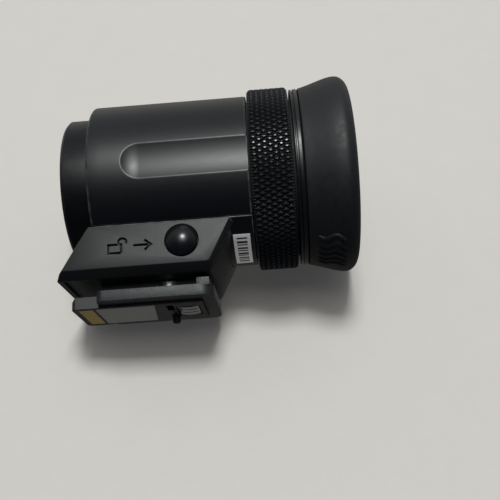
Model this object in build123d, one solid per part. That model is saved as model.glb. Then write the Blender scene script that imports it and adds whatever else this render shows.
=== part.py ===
"""Clip-on tilting electronic viewfinder for a camera's hot shoe, lying on its side.

Every piece is drawn in the working frame of the finder: X along the optical axis towards the
eye, Z up from the shoe to the barrel, Y across, with the origin on the optical axis where the
dioptre ring starts.  lie_down() then lays the finished pieces down on their side, the way the
finder rests on a table: on the eyecup, the barrel's front rim and one corner of the base.
"""

from build123d import *
import math
import os

# ---- Driving dimensions, millimetres -------------------------------------------------------
BARREL_R = 16.35
BARREL_WALL = 1.2
BARREL_FRONT_X = -29.2
BARREL_REAR_X = -0.3
SPLIT_Z = -11.3
SEAM_GAP = 0.04
FRONT_BEVEL = 0.6
CAP_R = 14.15
CAP_FRONT_X = -34.4
CAP_SEAT = 0.55
CAP_SPIGOT = 2.0
CAP_WALL = 1.0
CAP_EDGE = 0.6
CAP_FACE_R = 11.95
CAP_FACE_SINK = 0.3
FLUTE_DEPTH = 0.75
FLUTE_R = 13.3
FLUTE_END_X = -19.6
FLUTE_END_REACH = 10.0
FLUTE_TURN_DEG = 4.0
LABEL_X = (-4.1, -1.0)
LABEL_Y = (-8.8, 0.3)
LABEL_THICKNESS = 0.08

TUNNEL_X = (-20.0, -5.0)
TUNNEL_R = 12.2
TUNNEL_WALL = 1.0
TUNNEL_FLANGE = 2.0
BOSS_HALF = 1.6
DISPLAY_WINDOW = (6.0, 4.6)
PANEL_X = (-21.9, -20.4)
PANEL_HALF = (7.4, 5.9)
PANEL_GAP = 0.1
FRAME_X = (-22.0, -20.0)
FRAME_HALF = (9.5, 7.8)
DISPLAY_BOARD_X = (-23.0, -22.0)
DISPLAY_BOARD_HALF = (9.5, 8.6)
FLEX_X = -27.2
FLEX_Z = (-15.6, -12.6, -5.0)
FLEX_HALF_WIDTH = 3.0
FLEX_THICKNESS = 0.2
FLEX_SLOT_X = (-27.7, -26.5)

RING_R = 17.5
RING_LENGTH = 7.6
RING_EDGE = 0.35
RING_GAP = 0.1
TUBE_R = 15.0
TUBE_BORE_R = 13.9
TUBE_X = (-4.9, 11.5)
CARRIER_R = 13.8
CARRIER_FRONT_X = -3.0
CARRIER_REAR_X = 8.5
LENS_R = 11.5
RETAINER_RING = (0.9, 0.8)
EYE_CURVES = (90.0, 42.0)
EYE_EDGE = (5.1, 7.3)
FIELD_R = 11.0
FIELD_EDGE = (-1.2, 1.6)
FIELD_CURVES = (48.0, 120.0)
LENS_LEDGE = 0.7
SEAT_RELIEF = 0.25
FOLLOWER_R = 0.6
FOLLOWER_X = RING_LENGTH / 2
FOLLOWER_FOOT_R = 12.6
FOLLOWER_GAP = 0.1
GROOVE_DEPTH = 1.6
GROOVE_FLOOR = 0.9
DIOPTRE_TURN_DEG = 50.0
DIOPTRE_TRAVEL = 1.0
TRIM_R = 17.0
TRIM_X = (8.05, 9.45)
TRIM_EDGE = 0.2
EYECUP_R = 18.8
EYECUP_FRONT_X = 9.6
EYECUP_WIDEST_X = 16.6
EYECUP_REAR_X = 18.9
MOUNT_R = 16.2
MOUNT_REAR_X = 13.0
MOUNT_BORE_R = 12.6

BASE_HALF_WIDTH = 11.9
BASE_WALL = 1.2
BASE_BOTTOM_Z = -20.7
BASE_FLOOR = 1.2
BASE_EDGE = 1.5
BASE_FRONT_EDGE = 0.7
BASE_REAR_WALL = 2.4
POCKET_X = (-34.6, -28.9)
POCKET_HALF_WIDTH = 10.0
POCKET_DEPTH = 0.5
ICON_DEPTH = 0.2
ICON_Z = -15.3
BASE_FRONT = (-29.86, -35.5)
BASE_REAR = (-2.4, -7.3)
BASE_REAR_EDGE = 0.7
BASE_REAR_BULGE_R = 70.0
SADDLE_GAP = 0.15
CHASSIS_X = (-33.6, -10.6)
CHASSIS_HALF_WIDTH = 10.6
CHASSIS_THICKNESS = 0.6
POST_X = (-12.0, -10.6)
POST_Y = (-6.4, -5.8)
POST_TOP_Z = -15.9
STANDOFF_R = 0.8
STANDOFF_SPOTS = [(x, y) for x in (-27.0, -20.0) for y in (-7.4, 7.4)]
BOARD_X = (-28.0, -19.0)
BOARD_HALF_WIDTH = 8.2
CONNECTOR_X = (-25.5, -21.0)
CONNECTOR_Y = (4.9, 7.9)
CONNECTOR_HEIGHT = 0.9
BOARD_Z = (-17.9, -17.1)

HINGE_X = -30.3
HINGE_Z = -14.2
HINGE_PIN_R = 0.75
HINGE_PIN_END = 11.4
HINGE_CLEARANCE = 0.03
LUG_R = 1.5
LUG_Y = (8.7, 9.5)
LUG_WEB_X = (-28.8, -24.0)
LUG_WEB_Z = (-14.6, -12.6)
LUG_ROOT = 0.4
EAR_R = 1.3
EAR_Y = (9.9, 10.6)
WASHER_R = 1.25
WASHER_GAP = 0.06

FLANGE_HALF_WIDTH = 9.3
FLANGE_TOP_Z = -22.5
FLANGE_THICKNESS = 2.0
FLANGE_X = (-29.0, -8.0)
FLANGE_FRONT_CORNER_R = 1.2
FLANGE_REAR_CORNER_R = 2.2
NECK_X = (-28.6, -8.7)
NECK_HALF_WIDTH = 6.1
STOP_X = (-11.0, -8.7)
STOP_TOP_Z = -21.3
CONTACT_X = (-29.0, -10.4)
CONTACT_HALF_WIDTH = 6.1
CONTACT_PROUD = 0.5
CONTACT_DEPTH = 1.2
PLUG_X = (-34.0, -29.0)
PLUG_HALF_WIDTH = 6.6
PLUG_TOP_Z = -22.8
PLUG_EDGE = 0.7
GOLD_X = (-33.1, -30.3)
GOLD_Y = (-5.6, 5.6)
GOLD_THICKNESS = 0.25
SPRING_X = (-15.6, -11.2)
SPRING_Y = (-3.3, 3.1)
SPRING_DEPTH = 0.6
SOCKET_X = (-17.2, -15.9)
SOCKET_Y = (-4.9, -1.2)
SOCKET_DEPTH = 1.0
PLATE_X = (-29.9, -19.1)
PLATE_SLANT = 1.1
PLATE_HALF_WIDTH = 5.6
PLATE_THICKNESS = 0.3
LEAF_R = 9.0
LEAF_PROUD = 0.1
LEAF_THICKNESS = 0.25
LEAF_SLOT_Y = (-1.1, 0.9)
RAIL_SPRING_X = -16.4
RAIL_SPRING_Z = (-22.2, -20.9)
RAIL_SPRING_R = 2.4
RAIL_SPRING_PROUD = 0.7
RAIL_SPRING_THICKNESS = 0.2

BUTTON_X = -13.05
BUTTON_Z = -15.1
BUTTON_R = 2.85
BUTTON_GAP = 0.2
BUTTON_DOME = 1.2
BUTTON_RIM = 0.3
STEM_R = 1.3
SLIDE_X = (-18.1, -9.7)
SLIDE_Y = (-10.6, -9.9)
SLIDE_Z = (-18.5, -13.9)
ARM_WIDTH = 0.7
ARM_TOP_Z = -17.2
ARM_BOTTOM_Z = -21.4
ARM_END = 0.8
SLOT_GAP = 0.06
BUTTON_TRAVEL = 1.0
LOCK_X = -16.3
LOCK_Y = 3.3
LOCK_TRAVEL = 1.6
LOCK_R = 0.9
LOCK_TIP_R = 0.75
LOCK_PROUD = 1.5
LOCK_GAP = 0.05
LOCK_ROOM = 2.2
LOCK_ROOM_Y = (1.2, 5.8)
DOWEL_X = (-18.1, -14.5)
DOWEL_R = 0.4
DOWEL_Z = -20.6

COIL_START = (-11.3, -9.75, -17.0)
COIL_LENGTH = 3.3
COIL_PITCH = 0.62
COIL_R = 0.8
COIL_WIRE_R = 0.14

CONTACT_COUNT = 9
CONTACT_PITCH = 1.2
CONTACT_WIDTH = 1.0
SCREW_SPOTS = [(x, y) for x in (-26.0, -12.5) for y in (-4.0, 4.0)]
COVER_SCREW_SPOTS = [(x, y) for x in (-21.0, -10.0) for y in (-6.5, 6.5)]
COVER_SCREW_R = 0.7
COVER_SCREW_TOP_Z = -11.6
COVER_HEAD_R = 1.2
COVER_HEAD_Z = (-14.95, -14.4)
TAP_GAP = 0.02
FOOT_SCREW_R = 0.8
FOOT_HEAD_R = 1.5
FOOT_HEAD_HEIGHT = 0.7

FLANGE_BOTTOM_Z = FLANGE_TOP_Z - FLANGE_THICKNESS
CONTACT_BOTTOM_Z = FLANGE_BOTTOM_Z - CONTACT_PROUD
CONTACT_TOP_Z = FLANGE_BOTTOM_Z + CONTACT_DEPTH
CHASSIS_Z = BASE_BOTTOM_Z + BASE_FLOOR
CHASSIS_TOP_Z = CHASSIS_Z + CHASSIS_THICKNESS
BORE_R = BARREL_R - BARREL_WALL
FOLLOWER_ANGLES = (90, 210, 330)


# ---- Small helpers -------------------------------------------------------------------------
def box(x, y, z):
    """A box from its two ends along each axis."""
    size = (x[1] - x[0], y[1] - y[0], z[1] - z[0])
    middle = (sum(x) / 2, sum(y) / 2, sum(z) / 2)
    return Pos(*middle) * Box(*size)


def rod_x(radius, x, y=0.0, z=0.0):
    return Pos(sum(x) / 2, y, z) * Rot(0, 90, 0) * Cylinder(radius, x[1] - x[0])


def rod_y(radius, y, x=0.0, z=0.0):
    return Pos(x, sum(y) / 2, z) * Rot(90, 0, 0) * Cylinder(radius, y[1] - y[0])


def rod_z(radius, z, x=0.0, y=0.0):
    return Pos(x, y, sum(z) / 2) * Cylinder(radius, z[1] - z[0])


def tube_x(outer, inner, x):
    return rod_x(outer, x) - rod_x(inner, (x[0] - 1, x[1] + 1))


def turned(*corners):
    """A body turned about the optical axis from (x, radius) corners."""
    outline = Polyline(*[(x, r) for x, r in corners], close=True)
    return revolve(make_face(outline), Axis.X)


def plate_xz(corners, y):
    """A flat piece with an (x, z) outline, from one y to another."""
    outline = Polyline(*[(x, 0, z) for x, z in corners], close=True)
    face = Pos(0, y[0], 0) * make_face(outline)
    return extrude(face, amount=y[1] - y[0], dir=(0, 1, 0))


def both_sides(shape):
    return shape + mirror(shape, Plane.XZ)


def front_x(z):
    """Where the base's slanted front plane is at height z."""
    top, bottom = BASE_FRONT
    return top + (bottom - top) * (SPLIT_Z - z) / (SPLIT_Z - BASE_BOTTOM_Z)


def rear_x(z):
    """Where the crown of the base's slanted, slightly bulging rear face is at height z."""
    top, bottom = BASE_REAR
    return top + (bottom - top) * (SPLIT_Z - z) / (SPLIT_Z - BASE_BOTTOM_Z)


# ---- Barrel --------------------------------------------------------------------------------
def barrel_tube():
    front, inside = BARREL_FRONT_X, BARREL_FRONT_X + BARREL_WALL
    third = FRONT_BEVEL / 3
    return turned(
        (front, CAP_R - CAP_SEAT),
        (front, BARREL_R - FRONT_BEVEL),
        (front + third, BARREL_R - third),
        (front + FRONT_BEVEL, BARREL_R),
        (BARREL_REAR_X, BARREL_R),
        (BARREL_REAR_X, BORE_R),
        (inside, BORE_R),
        (inside, CAP_R - CAP_SEAT),
    )


def flute_cutter(side):
    turn = math.radians(FLUTE_TURN_DEG)
    reach = BARREL_R - FLUTE_DEPTH + FLUTE_R
    y = side * reach * math.cos(turn)
    z = -reach * math.sin(turn)
    arc = EllipticalCenterArc((0, 0), FLUTE_END_REACH, FLUTE_R, 90, arc_size=90)
    nose = revolve(make_face(arc + Polyline((-FLUTE_END_REACH, 0), (0, 0), (0, FLUTE_R))), Axis.X)
    return rod_x(FLUTE_R, (FLUTE_END_X, 2.0), y, z) + Pos(FLUTE_END_X, y, z) * nose


def barrel_upper_shell():
    keep = box((-40, 10), (-20, 20), (SPLIT_Z + SEAM_GAP, 20))
    return (barrel_tube() & keep) - flute_cutter(-1) - flute_cutter(1)


def hinge_lug():
    """One integral ear of the lower cover, webbed back along the barrel's underside."""
    low, high = LUG_WEB_Z
    corners = [(HINGE_X, HINGE_Z - LUG_R), (LUG_WEB_X[1], low), (LUG_WEB_X[1], high)]
    corners += [(LUG_WEB_X[0], high), (HINGE_X, HINGE_Z)]
    web = plate_xz(corners, LUG_Y) - rod_x(BARREL_R - LUG_ROOT, (-40, 0))
    lug = web + rod_y(LUG_R, LUG_Y, HINGE_X, HINGE_Z)
    return lug - rod_y(HINGE_PIN_R + HINGE_CLEARANCE, (LUG_Y[0] - 1, LUG_Y[1] + 1), HINGE_X, HINGE_Z)


def barrel_lower_cover():
    keep = box((-40, 10), (-20, 20), (-20, SPLIT_Z - SEAM_GAP))
    cover = (barrel_tube() & keep) + both_sides(hinge_lug())
    slot = FLEX_HALF_WIDTH + 0.3
    cover -= box(FLEX_SLOT_X, (-slot, slot), (-18, -12))
    for x, y in COVER_SCREW_SPOTS:
        cover -= rod_z(COVER_HEAD_R + 0.1, (-18, COVER_HEAD_Z[1] + 0.05), x, y)
        cover -= rod_z(COVER_SCREW_R + TAP_GAP, (-18, -12), x, y)
    return cover


def front_cap():
    seat = CAP_R - CAP_SEAT
    rear, inside = BARREL_FRONT_X + CAP_SPIGOT, CAP_FRONT_X + CAP_FACE_SINK + CAP_WALL
    shell = turned(
        (CAP_FRONT_X, 0),
        (CAP_FRONT_X, CAP_R - CAP_EDGE),
        (CAP_FRONT_X + CAP_EDGE, CAP_R),
        (BARREL_FRONT_X, CAP_R),
        (BARREL_FRONT_X, seat),
        (rear, seat),
        (rear, seat - CAP_WALL),
        (inside, seat - CAP_WALL),
        (inside, 0),
    )
    return shell - rod_x(CAP_FACE_R, (CAP_FRONT_X - 1, CAP_FRONT_X + CAP_FACE_SINK))


def serial_label():
    """A thin blank label wrapped round the underside just ahead of the dioptre ring."""
    sheet = tube_x(BARREL_R + LABEL_THICKNESS, BARREL_R, LABEL_X)
    return sheet & box((-5, 0), LABEL_Y, (-20, -10))


def cover_screws():
    group = []
    for x, y in COVER_SCREW_SPOTS:
        head = rod_z(COVER_HEAD_R, COVER_HEAD_Z, x, y)
        group.append(head + rod_z(COVER_SCREW_R, (COVER_HEAD_Z[1], COVER_SCREW_TOP_Z), x, y))
    return Compound(group)


# ---- Display and optics --------------------------------------------------------------------
def card(x, half, grow=0.0):
    """A rectangular card square to the optical axis, half its (width, height) given."""
    wide, high = half[0] + grow, half[1] + grow
    return box(x, (-wide, wide), (-high, high))


def display_window():
    return card((FRAME_X[0] + 1, FRAME_X[1] + 2), DISPLAY_WINDOW)


def optics_chassis():
    """Light tunnel between the display and the lenses, screwed to the lower cover."""
    front, rear = TUNNEL_X
    flange, bore = rear - TUNNEL_FLANGE, TUNNEL_R - TUNNEL_WALL
    body = turned(
        (front, 0), (front, TUNNEL_R), (flange, TUNNEL_R), (flange, BORE_R), (rear, BORE_R),
        (rear, bore), (front + TUNNEL_WALL, bore), (front + TUNNEL_WALL, 0),
    )
    body -= display_window()
    for x, y in COVER_SCREW_SPOTS:
        sides = (x - BOSS_HALF, x + BOSS_HALF), (y - BOSS_HALF, y + BOSS_HALF)
        boss = box(*sides, (-BORE_R, -9.0)) - rod_x(TUNNEL_R - 0.2, (-30, 0))
        boss &= rod_x(BORE_R, (-30, 0))
        hole = rod_z(COVER_SCREW_R + TAP_GAP, (-18, COVER_SCREW_TOP_Z + 0.4), x, y)
        body = body + boss - hole
    return body


def display_frame():
    frame = card(FRAME_X, FRAME_HALF)
    frame -= card((FRAME_X[0] - 1, PANEL_X[1]), PANEL_HALF, PANEL_GAP)
    return frame - display_window()


def display_panel():
    return card(PANEL_X, PANEL_HALF)


def display_board():
    return card(DISPLAY_BOARD_X, DISPLAY_BOARD_HALF)


def display_flex():
    """Ribbon from the display board down to the slot in the lower cover."""
    half = (-FLEX_HALF_WIDTH, FLEX_HALF_WIDTH)
    front = (FLEX_X, FLEX_X + FLEX_THICKNESS)
    rear = DISPLAY_BOARD_X[0]
    low, bend, high = FLEX_Z
    drop = box((rear - FLEX_THICKNESS, rear), half, (bend, high))
    run = box((FLEX_X, rear), half, (bend - FLEX_THICKNESS, bend))
    return drop + run + box(front, half, (low, bend))


def guide_tube():
    """Fixed sleeve that the dioptre ring turns on, slotted for the lens carrier's followers."""
    tube = turned(
        (TUBE_X[0], BORE_R), (BARREL_REAR_X, BORE_R), (BARREL_REAR_X, TUBE_R), (TUBE_X[1], TUBE_R),
        (TUBE_X[1], TUBE_BORE_R), (TUBE_X[0], TUBE_BORE_R),
    )
    half = DIOPTRE_TRAVEL + FOLLOWER_R + FOLLOWER_GAP
    side = FOLLOWER_R + 0.08
    slot = box((FOLLOWER_X - half, FOLLOWER_X + half), (-side, side), (TUBE_BORE_R - 1, TUBE_R + 1))
    for angle in FOLLOWER_ANGLES:
        tube -= Rot(angle - 90, 0, 0) * slot
    return tube


def cam_groove():
    """Helical groove that one follower runs in, centred on the follower at rest."""
    lead = DIOPTRE_TRAVEL / DIOPTRE_TURN_DEG * 360
    span = 2 * (DIOPTRE_TURN_DEG + 3)
    middle_r = (TUBE_R + RING_R - GROOVE_FLOOR) / 2
    path = Helix(lead, lead * span / 360, middle_r)
    start = path @ 0
    flat = Plane(origin=start, x_dir=(start.X, start.Y, 0), z_dir=path % 0)
    width = 2 * (FOLLOWER_R + FOLLOWER_GAP)
    groove = sweep(flat * Rectangle(GROOVE_DEPTH, width), path=path, is_frenet=True)
    centred = Rot(0, 0, -span / 2) * Pos(0, 0, -lead * span / 720) * groove
    return Pos(FOLLOWER_X, 0, 0) * Rot(0, 90, 0) * centred


def dioptre_ring():
    bore, low = TUBE_R + RING_GAP, RING_R - RING_EDGE
    ring = turned(
        (0, bore), (0, low), (RING_EDGE, RING_R), (RING_LENGTH - RING_EDGE, RING_R),
        (RING_LENGTH, low), (RING_LENGTH, bore),
    )
    groove = cam_groove()
    for angle in FOLLOWER_ANGLES:
        ring -= Rot(angle + 90, 0, 0) * groove
    return ring


def trim_ring():
    front, rear = TRIM_X
    low = TRIM_R - TRIM_EDGE
    return turned(
        (front, TUBE_R), (front, low), (front + TRIM_EDGE, TRIM_R),
        (rear - TRIM_EDGE, TRIM_R), (rear, low), (rear, TUBE_R),
    )


def eyecup_mount():
    return turned(
        (EYECUP_FRONT_X, TUBE_R), (EYECUP_FRONT_X, MOUNT_R), (MOUNT_REAR_X, MOUNT_R),
        (MOUNT_REAR_X, MOUNT_BORE_R), (TUBE_X[1], MOUNT_BORE_R), (TUBE_X[1], TUBE_R),
    )


def eyecup():
    """Soft cup: a flared outer skin, a round lip and a funnel down to the lens."""
    flare = Spline(
        (EYECUP_FRONT_X, 17.05), (12.8, 17.95), (15.2, 18.68), (EYECUP_WIDEST_X, EYECUP_R),
        tangents=[(1, 0.2), (1, 0)],
    )
    lip = Spline(
        (EYECUP_WIDEST_X, EYECUP_R), (18.35, 18.0), (EYECUP_REAR_X, 16.6), (18.3, 15.5),
        tangents=[(1, 0), (-0.7, -0.7)],
    )
    rest = Polyline(
        (18.3, 15.5), (14.6, 13.0), (14.0, 12.4), (MOUNT_REAR_X, 12.4), (MOUNT_REAR_X, MOUNT_R),
        (EYECUP_FRONT_X, MOUNT_R), (EYECUP_FRONT_X, 17.05),
    )
    return revolve(make_face(Curve() + [flare, lip, rest]), Axis.X)


def lens_carrier():
    shoulder_r, mouth_r = FIELD_R - LENS_LEDGE, LENS_R + RETAINER_RING[0]
    eye_seat, retainer_seat = EYE_EDGE[0] - SEAT_RELIEF, EYE_EDGE[1] + SEAT_RELIEF
    field_seat = FIELD_EDGE[1] + SEAT_RELIEF
    carrier = turned(
        (CARRIER_FRONT_X, FIELD_R), (CARRIER_FRONT_X, CARRIER_R), (CARRIER_REAR_X, CARRIER_R),
        (CARRIER_REAR_X, mouth_r), (retainer_seat, mouth_r), (retainer_seat, LENS_R),
        (eye_seat, LENS_R), (eye_seat, shoulder_r), (field_seat, shoulder_r), (field_seat, FIELD_R),
    )
    hole = rod_z(FOLLOWER_R, (FOLLOWER_FOOT_R, TUBE_R), FOLLOWER_X, 0)
    for angle in FOLLOWER_ANGLES:
        carrier -= Rot(angle - 90, 0, 0) * hole
    return carrier


def lens(x, radius, curves):
    """A biconvex glass with a cylindrical edge from x[0] to x[1]."""
    front_r, rear_r = curves
    front_rise = front_r - math.sqrt(front_r**2 - radius**2)
    rear_rise = rear_r - math.sqrt(rear_r**2 - radius**2)
    blank = rod_x(radius, (x[0] - front_rise, x[1] + rear_rise))
    front = Pos(x[0] - front_rise + front_r, 0, 0) * Sphere(front_r)
    rear = Pos(x[1] + rear_rise - rear_r, 0, 0) * Sphere(rear_r)
    return blank & front & rear


def eyepiece_lens():
    return lens(EYE_EDGE, LENS_R, EYE_CURVES)


def field_lens():
    return lens(FIELD_EDGE, FIELD_R, FIELD_CURVES)


def lens_retainer():
    outer, inner = LENS_R + RETAINER_RING[0], LENS_R - RETAINER_RING[1]
    return tube_x(outer, inner, (EYE_EDGE[1] + SEAT_RELIEF, CARRIER_REAR_X))


def follower_pins():
    pin = rod_z(FOLLOWER_R, (FOLLOWER_FOOT_R, RING_R - GROOVE_FLOOR - 0.2), FOLLOWER_X, 0)
    return Compound([Rot(angle - 90, 0, 0) * pin for angle in FOLLOWER_ANGLES])


# ---- Base ----------------------------------------------------------------------------------
def base_blank():
    """The slanted block before it is hollowed: bevelled below and at its slanted edges."""
    top = SPLIT_Z + 2.0
    half = (-BASE_HALF_WIDTH, BASE_HALF_WIDTH)
    corners = [(front_x(top), top), (front_x(BASE_BOTTOM_Z), BASE_BOTTOM_Z)]
    corners += [(rear_x(BASE_BOTTOM_Z), BASE_BOTTOM_Z), (rear_x(top), top)]
    blank = plate_xz(corners, half)
    lean = math.degrees(math.atan2(BASE_REAR[0] - BASE_REAR[1], SPLIT_Z - BASE_BOTTOM_Z))
    bulge = Rot(0, lean, 0) * Cylinder(BASE_REAR_BULGE_R, 200)
    offset = BASE_REAR_BULGE_R / math.cos(math.radians(lean))
    blank &= Pos(rear_x(SPLIT_Z) - offset, 0, SPLIT_Z) * bulge
    low = blank.edges().filter_by_position(Axis.Z, BASE_BOTTOM_Z - 0.01, BASE_BOTTOM_Z + 0.01)
    blank = chamfer([e for e in low if e.length > 20 and abs(e.center().Y) > 5], BASE_EDGE)
    slanted = [e for e in blank.edges() if e.length > 5 and abs(e.center().Y) > 11.5]
    blank = chamfer([e for e in slanted if e.center().X < -30], BASE_FRONT_EDGE)
    slanted = [e for e in blank.edges() if e.length > 5 and abs(e.center().Y) > 11.5]
    return chamfer([e for e in slanted if e.center().X > -12], BASE_REAR_EDGE)


def unlock_icon():
    """Shallow engraving on the near cheek: an open padlock and an arrow towards the button."""
    depth = (-BASE_HALF_WIDTH - 0.5, -BASE_HALF_WIDTH + ICON_DEPTH)
    z = ICON_Z
    lock = box((-26.6, -24.2), depth, (z - 1.0, z + 0.4))
    ring = rod_y(0.85, depth, -23.3, z + 0.4) - rod_y(0.5, (-13, -11), -23.3, z + 0.4)
    ring &= box((-26, -22), (-13, -11), (z + 0.4, z + 2))
    head = plate_xz([(-19.6, z + 0.9), (-18.2, z), (-19.6, z - 0.9)], depth)
    return lock + ring + box((-22.6, -19.6), depth, (z - 0.2, z + 0.2)) + head


def lock_opening():
    """Room for the lock pin and the slide's arms through the floor, as a cutter."""
    return box((LOCK_X - LOCK_ROOM, LOCK_X + LOCK_ROOM), LOCK_ROOM_Y, (-21.7, -18))


def base_housing():
    inner = BASE_HALF_WIDTH - BASE_WALL
    shell = base_blank() - rod_x(BARREL_R + SADDLE_GAP, (-45, 10))
    shell -= box((-45, 10), (-20, 20), (SPLIT_Z + 0.05, 0))
    low, high = rear_x(CHASSIS_Z) - BASE_REAR_WALL, rear_x(-8) - BASE_REAR_WALL
    shell -= plate_xz([(-45, -8), (-45, CHASSIS_Z), (low, CHASSIS_Z), (high, -8)], (-inner, inner))
    pocket = (-POCKET_HALF_WIDTH, POCKET_HALF_WIDTH)
    shell -= box(POCKET_X, pocket, (BASE_BOTTOM_Z - 1, BASE_BOTTOM_Z + POCKET_DEPTH))
    shell -= rod_y(BUTTON_R + BUTTON_GAP, (-14, -10), BUTTON_X, BUTTON_Z)
    shell -= rod_y(HINGE_PIN_R, (-HINGE_PIN_END, HINGE_PIN_END), HINGE_X, HINGE_Z)
    shell -= lock_opening()
    for x, y in SCREW_SPOTS:
        shell -= rod_z(FOOT_SCREW_R + 0.1, (-22, -18), x, y)
    return shell - unlock_icon()


def base_chassis():
    """Folded steel frame on the base's floor: hinge ears in front and a post for the spring."""
    side = CHASSIS_HALF_WIDTH
    plate = box(CHASSIS_X, (-side, side), (CHASSIS_Z, CHASSIS_TOP_Z)) - lock_opening()
    ear = box((HINGE_X - EAR_R, HINGE_X + EAR_R), EAR_Y, (CHASSIS_Z, HINGE_Z))
    ear += rod_y(EAR_R, EAR_Y, HINGE_X, HINGE_Z)
    frame = plate + both_sides(ear) - rod_y(HINGE_PIN_R, (-12, 12), HINGE_X, HINGE_Z)
    frame += box(POST_X, POST_Y, (CHASSIS_Z, POST_TOP_Z))
    for x, y in STANDOFF_SPOTS:
        frame += rod_z(STANDOFF_R, (CHASSIS_TOP_Z, BOARD_Z[0]), x, y)
    for x, y in SCREW_SPOTS:
        frame -= rod_z(FOOT_SCREW_R + 0.1, (-22, -18), x, y)
    return frame


def base_board():
    return box(BOARD_X, (-BOARD_HALF_WIDTH, BOARD_HALF_WIDTH), BOARD_Z)


def board_connector():
    return box(CONNECTOR_X, CONNECTOR_Y, (BOARD_Z[1], BOARD_Z[1] + CONNECTOR_HEIGHT))


def hinge_pins():
    pin = rod_y(HINGE_PIN_R, (LUG_Y[0] - 0.3, HINGE_PIN_END), HINGE_X, HINGE_Z)
    return Compound([pin, mirror(pin, Plane.XZ)])


def friction_washers():
    gap = (LUG_Y[1] + WASHER_GAP, EAR_Y[0])
    washer = rod_y(WASHER_R, gap, HINGE_X, HINGE_Z) - rod_y(HINGE_PIN_R, (9, 11), HINGE_X, HINGE_Z)
    return Compound([washer, mirror(washer, Plane.XZ)])


# ---- Shoe foot -----------------------------------------------------------------------------
def shoe_foot():
    flange = box(FLANGE_X, (-FLANGE_HALF_WIDTH, FLANGE_HALF_WIDTH), (FLANGE_BOTTOM_Z, FLANGE_TOP_Z))
    flange = fillet(flange.edges().filter_by(Axis.Z).sort_by(Axis.X)[:2], FLANGE_FRONT_CORNER_R)
    flange = fillet(flange.edges().filter_by(Axis.Z).sort_by(Axis.X)[-2:], FLANGE_REAR_CORNER_R)
    neck = box(NECK_X, (-NECK_HALF_WIDTH, NECK_HALF_WIDTH), (FLANGE_TOP_Z, BASE_BOTTOM_Z))
    stop = box(STOP_X, (NECK_HALF_WIDTH, FLANGE_HALF_WIDTH), (FLANGE_TOP_Z, STOP_TOP_Z))
    foot = flange + neck + both_sides(stop)
    channel = (-CONTACT_HALF_WIDTH, CONTACT_HALF_WIDTH)
    foot -= box((FLANGE_X[0] - 1, CONTACT_X[1]), channel, (FLANGE_BOTTOM_Z - 1, CONTACT_TOP_Z))
    foot -= lock_opening()
    foot -= rod_z(LOCK_R + LOCK_GAP, (-26, -20), LOCK_X, LOCK_Y)
    for x, y in SCREW_SPOTS:
        foot -= rod_z(FOOT_SCREW_R, (CONTACT_TOP_Z, -18), x, y)
    return foot


def contact_block():
    """Black moulding let into the foot's underside, ending in the connector plug in front."""
    half = (-CONTACT_HALF_WIDTH, CONTACT_HALF_WIDTH)
    body = box(CONTACT_X, half, (CONTACT_BOTTOM_Z, CONTACT_TOP_Z))
    plug = box(PLUG_X, (-PLUG_HALF_WIDTH, PLUG_HALF_WIDTH), (CONTACT_BOTTOM_Z, PLUG_TOP_Z))
    front = [e for e in plug.edges() if abs(e.center().X - PLUG_X[0]) < 0.01]
    plug = chamfer([e for e in front if abs(e.center().Z - CONTACT_BOTTOM_Z) > 0.01], PLUG_EDGE)
    body += plug
    body -= Pos(0, 0, CONTACT_BOTTOM_Z + PLATE_THICKNESS - 5) * ground_plate_blank(0.1, 5)
    recesses = [(GOLD_X, GOLD_Y, GOLD_THICKNESS), (SPRING_X, SPRING_Y, SPRING_DEPTH)]
    for x, y, depth in [*recesses, (SOCKET_X, SOCKET_Y, SOCKET_DEPTH)]:
        body -= box(x, y, (CONTACT_BOTTOM_Z - 1, CONTACT_BOTTOM_Z + depth))
    return body - rod_z(LOCK_R + LOCK_GAP, (-26, -20), LOCK_X, LOCK_Y)


def ground_plate_blank(margin, height):
    """The plate's outline, with its slanting rear end, grown by margin."""
    side = PLATE_HALF_WIDTH + margin
    front, rear = PLATE_X[0] - margin, PLATE_X[1] + margin
    corners = [(front, -side), (rear, -side), (rear - PLATE_SLANT, side), (front, side)]
    outline = Polyline(*corners, close=True)
    return extrude(make_face(outline), amount=height)


def ground_plate():
    return Pos(0, 0, CONTACT_BOTTOM_Z) * ground_plate_blank(0, PLATE_THICKNESS)


def plug_contacts():
    first = -CONTACT_PITCH * (CONTACT_COUNT - 1) / 2
    ends = (GOLD_X[0] + 0.1, GOLD_X[1] - 0.1)
    strip = box(ends, (-CONTACT_WIDTH / 2, CONTACT_WIDTH / 2), (0, GOLD_THICKNESS))
    rows = [first + CONTACT_PITCH * i for i in range(CONTACT_COUNT)]
    return Compound([Pos(0, y, CONTACT_BOTTOM_Z) * strip for y in rows])


def ground_spring():
    """Bowed leaf with two slots that presses on the bottom of the shoe."""
    middle = (SPRING_X[0] + SPRING_X[1]) / 2
    height = CONTACT_BOTTOM_Z - LEAF_PROUD + LEAF_R
    leaf = rod_y(LEAF_R, (SPRING_Y[0] + 0.4, SPRING_Y[1] - 0.4), middle, height)
    leaf -= rod_y(LEAF_R - LEAF_THICKNESS, (-4, 4), middle, height)
    ends = (SPRING_X[0] + 0.3, SPRING_X[1] - 0.3)
    leaf &= box(ends, (-4, 4), (CONTACT_BOTTOM_Z - 1, CONTACT_BOTTOM_Z + 0.6))
    for y in LEAF_SLOT_Y:
        leaf -= box((middle - 1.5, middle + 1.5), (y - 0.25, y + 0.25), (-27, -22))
    return leaf


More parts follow.
